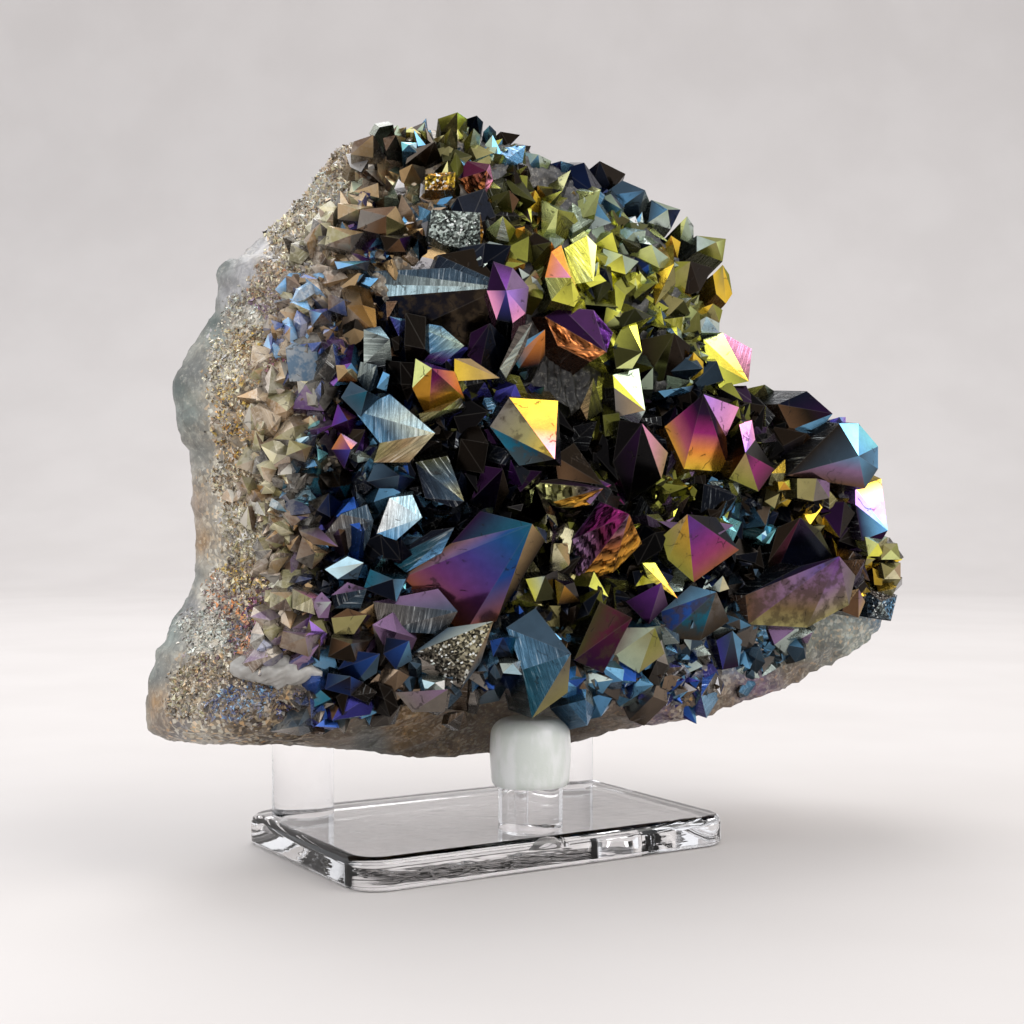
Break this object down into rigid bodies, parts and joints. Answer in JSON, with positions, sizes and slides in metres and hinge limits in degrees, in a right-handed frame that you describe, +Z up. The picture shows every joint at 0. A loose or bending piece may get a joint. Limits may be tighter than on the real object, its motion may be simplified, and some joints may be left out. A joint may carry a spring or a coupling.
{
  "type": "aura quartz cluster on a stand",
  "caption": "Slab of metallic iridescent quartz points standing upright on a clear acrylic plate with capped pegs.",
  "frame": {"origin": "centre of the base plate's underside, on the surface the stand rests on", "axes": "+Z up, +X along the base plate's long side and the slab's breadth, the crystal face looks towards -Y"},
  "size_m": [0.1248, 0.05, 0.1084],
  "materials": {
    "aura_quartz": "glossy metallic iridescent coating over quartz and a rough chalcedony rind",
    "clear_acrylic": "clear, polished",
    "rod_acrylic": "clear, polished",
    "cap_vinyl": "frosted, soft"
  },
  "bodies": {
    "root": {"crystal_cluster": "aura_quartz", "stand_base": "clear_acrylic", "front_peg": "rod_acrylic", "back_left_peg": "rod_acrylic", "back_right_peg": "rod_acrylic", "front_peg_cap": "cap_vinyl", "back_left_peg_cap": "cap_vinyl", "back_right_peg_cap": "cap_vinyl"}
  },
  "joints": []
}
